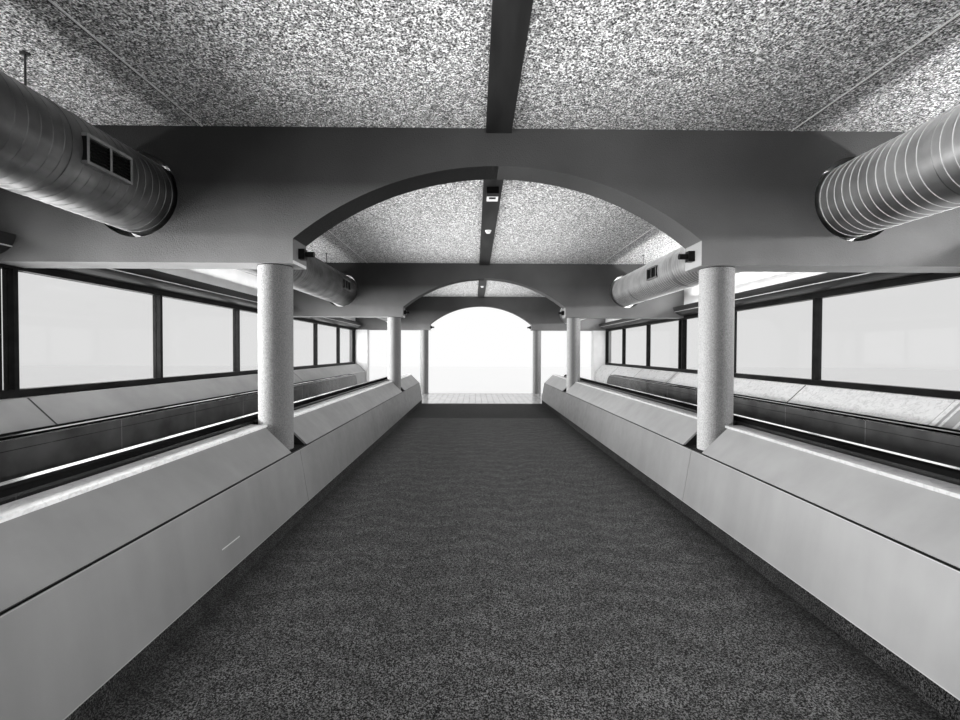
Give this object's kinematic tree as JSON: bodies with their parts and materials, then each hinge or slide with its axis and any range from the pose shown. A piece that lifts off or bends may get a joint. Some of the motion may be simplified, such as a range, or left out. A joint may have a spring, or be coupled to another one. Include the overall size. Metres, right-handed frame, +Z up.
{
  "type": "airport passenger link with moving walkways",
  "caption": "Enclosed airport link: arched beams on round columns over a carpeted walk between parapets, a moving walkway and a window wall on either side, round air ducts above.",
  "frame": {"origin": "on the ground under the middle of the link", "axes": "+Y along the hall towards the far end of the picture, +X to the right, +Z up"},
  "size_m": [9.96, 27.15, 4.54],
  "materials": {
    "concrete": "cast concrete, plain",
    "carpet": "dark loop-pile carpet with a repeated scallop pattern",
    "floor_tile": "pale glossy floor tiles with dark joints",
    "parapet_grey": "satin grey",
    "parapet_panel": "satin grey panels",
    "cap_stone": "pale veined stone, polished",
    "column_plaster": "pale painted plaster, lightly textured",
    "beam_render": "mid-grey painted render, fine orange peel",
    "ceiling_stucco": "pale coarse stucco",
    "dark_trim": "dark matt strip",
    "black_plastic": "black, satin",
    "white_plastic": "white, satin",
    "trim_metal": "bright satin metal",
    "duct_metal": "grey metal with spiral seams, semi-gloss",
    "register_metal": "grey, satin",
    "dark_steel": "dark painted steel",
    "pallet_metal": "grooved cast aluminium",
    "balustrade_gloss": "dark glossy panels",
    "handrail_rubber": "black, satin",
    "wall_render": "pale painted render",
    "frame_metal": "black, satin",
    "glass": "clear float glass",
    "casing_metal": "satin grey panels",
    "cove_dark": "dark matt"
  },
  "bodies": {
    "root": {"floor_slab": "concrete", "carpet": "carpet", "floor_tiles": "floor_tile", "parapet_core_left": "parapet_grey", "parapet_core_right": "parapet_grey", "parapet_panels_left": "parapet_panel", "parapet_panels_right": "parapet_panel", "parapet_slopes_left": "parapet_panel", "parapet_slopes_right": "parapet_panel", "parapet_caps": "cap_stone", "columns": "column_plaster", "arch_beam_1": "beam_render", "arch_beam_2": "beam_render", "arch_beam_3": "beam_render", "arch_beam_4": "beam_render", "arch_beam_5": "beam_render", "ceiling_plaster": "ceiling_stucco", "ceiling_strip": "dark_trim", "strip_lamps": "black_plastic", "detectors": "white_plastic", "roof_slab": "concrete", "duct_left": "duct_metal", "duct_right": "duct_metal", "duct_registers": "register_metal", "duct_hangers": "register_metal", "walkway_trough_left": "dark_steel", "walkway_trough_right": "dark_steel", "pallets_left": "pallet_metal", "pallets_right": "pallet_metal", "balustrades_left": "balustrade_gloss", "balustrades_right": "balustrade_gloss", "handrails_left": "handrail_rubber", "handrails_right": "handrail_rubber", "rail_trims": "trim_metal", "landing_plates": "pallet_metal", "window_wall_left": "wall_render", "window_wall_right": "wall_render", "window_frames_left": "frame_metal", "window_frames_right": "frame_metal", "window_glass": "glass", "sill_casing_left": "casing_metal", "sill_casing_right": "casing_metal", "light_coves": "cove_dark", "end_piers": "wall_render", "jamb_lamps": "black_plastic"}
  },
  "joints": []
}
